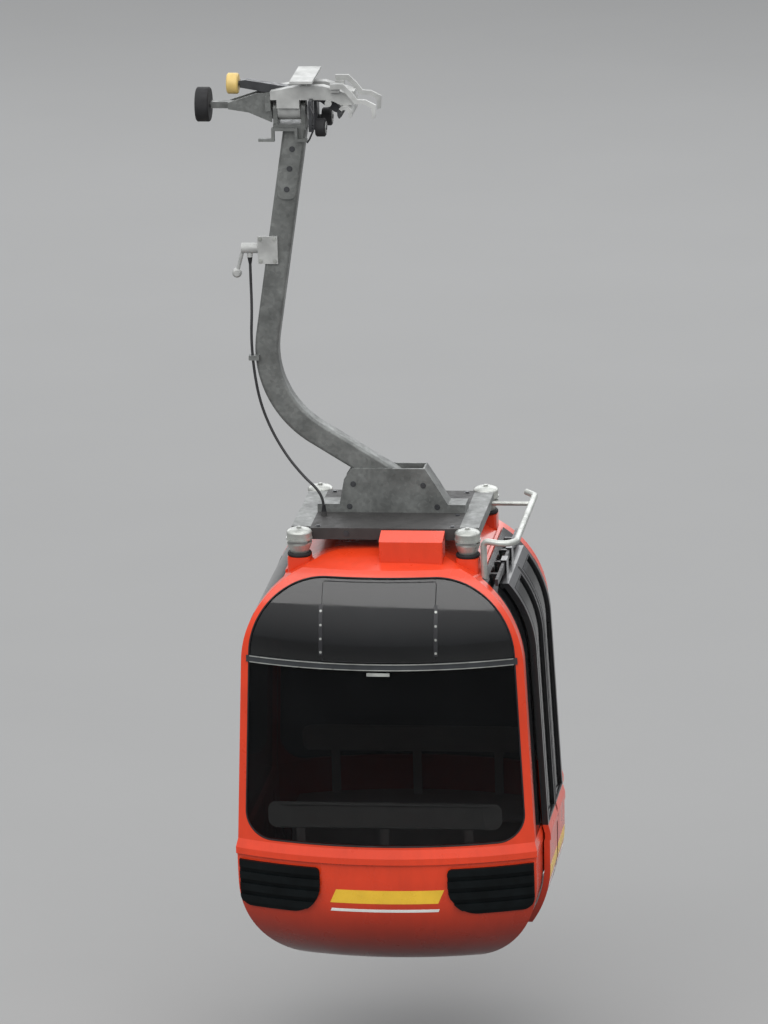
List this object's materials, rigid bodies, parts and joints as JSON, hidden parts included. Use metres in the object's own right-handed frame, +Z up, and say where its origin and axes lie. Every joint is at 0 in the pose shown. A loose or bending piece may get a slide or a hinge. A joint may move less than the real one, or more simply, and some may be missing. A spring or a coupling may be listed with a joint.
{
  "type": "cable car cabin",
  "caption": "Enclosed passenger cabin with bowed glazed ends and sliding doors, hung from a bent arm and a sprung detachable rope grip.",
  "frame": {"origin": "the rope's centre line in the middle of the grip's jaws", "axes": "+Z up, +Y along the rope, +X across the line towards the door side; the end shown in the picture faces -Y"},
  "size_m": [1.719, 1.5636, 4.45],
  "materials": {
    "roller_yellow": "matte",
    "cable": "matte",
    "cast_light": "matte",
    "black_paint": "satin",
    "red_paint": "satin",
    "bench_plastic": "matte",
    "frame_paint": "matte",
    "window": "gloss",
    "black_rubber": "matte",
    "black_plastic": "matte",
    "silver": "satin",
    "dark_steel": "satin",
    "bar_grey": "satin",
    "galvanised": "satin"
  },
  "bodies": {
    "grip": {"fixed_jaw": "cast_light", "friction_plate": "cast_light", "front_wheel_bracket": "dark_steel", "grip_body": "cast_light", "outrigger_arm": "galvanised", "pivot_axle": "dark_steel", "rear_wheel_bracket": "dark_steel"},
    "carrier": {"door_cable": "cable", "door_lever": "cast_light", "door_rail": "black_paint", "doorway_frame": "black_paint", "floor_pan": "red_paint", "front_bench": "bench_plastic", "front_cross_beam": "frame_paint", "front_end_frame": "red_paint", "front_left_bumper": "black_plastic", "front_left_damper": "silver", "front_main_window": "window", "front_panel": "red_paint", "front_right_bumper": "black_plastic", "front_right_damper": "silver", "front_top_window": "window", "front_vent_flap": "window", "front_window_bar": "bar_grey", "guide_bow": "silver", "hanger_foot": "galvanised", "hanger_head": "dark_steel", "hanger_tube": "galvanised", "left_panel": "red_paint", "left_side_beam": "galvanised", "left_window": "window", "rear_bench": "bench_plastic", "rear_cross_beam": "frame_paint", "rear_end_frame": "red_paint", "rear_left_bumper": "black_plastic", "rear_left_damper": "silver", "rear_main_window": "window", "rear_panel": "red_paint", "rear_right_bumper": "black_plastic", "rear_right_damper": "silver", "rear_top_window": "window", "rear_vent_flap": "window", "rear_window_bar": "bar_grey", "right_front_panel": "red_paint", "right_front_window": "window", "right_rear_panel": "red_paint", "right_rear_window": "window", "right_side_beam": "galvanised", "roof_box": "red_paint", "roof_panel": "red_paint"},
    "jaw": {"jaw_lever": "dark_steel", "roller_arm": "dark_steel"},
    "roller": {"coupling_roller": "roller_yellow"},
    "outer_roller": {"outer_wheel": "black_rubber"},
    "front_roller": {"front_inner_wheel": "black_rubber"},
    "rear_roller": {"rear_inner_wheel": "black_rubber"},
    "front_leaf": {"front_door": "red_paint", "front_door_glass": "window"},
    "rear_leaf": {"rear_door": "red_paint", "rear_door_glass": "window"}
  },
  "joints": [
    {"name": "hanger_swing", "type": "hinge", "parent": "grip", "child": "carrier", "pos_m": [-0.285, 0, 0], "axis": [1, 0, 0], "range_deg": [-35, 35]},
    {"name": "jaw_open", "type": "hinge", "parent": "grip", "child": "jaw", "pos_m": [-0.084, 0, 0.046], "axis": [0, 1, 0], "range_deg": [0, 12], "stiffness_Nm_per_rad": 400, "springref_deg": -11.46},
    {"name": "coupling_roller_spin", "type": "hinge", "parent": "jaw", "child": "roller", "pos_m": [-0.566, 0, 0.128], "axis": [1, 0, 0], "continuous": true},
    {"name": "outer_wheel_spin", "type": "hinge", "parent": "grip", "child": "outer_roller", "pos_m": [-0.716, 0, 0.022], "axis": [1, 0, 0], "continuous": true},
    {"name": "front_wheel_spin", "type": "hinge", "parent": "grip", "child": "front_roller", "pos_m": [-0.118, -0.118, -0.066], "axis": [1, 0, 0], "continuous": true},
    {"name": "rear_wheel_spin", "type": "hinge", "parent": "grip", "child": "rear_roller", "pos_m": [-0.118, 0.118, -0.066], "axis": [1, 0, 0], "continuous": true},
    {"name": "front_door_slide", "type": "slide", "parent": "carrier", "child": "front_leaf", "axis": [0, -1, 0], "range_m": [0, 0.3]},
    {"name": "rear_door_slide", "type": "slide", "parent": "carrier", "child": "rear_leaf", "axis": [0, 1, 0], "range_m": [0, 0.3]}
  ],
  "couplings": [
    {"joint": "rear_door_slide", "follows": "front_door_slide", "ratio": 1}
  ]
}
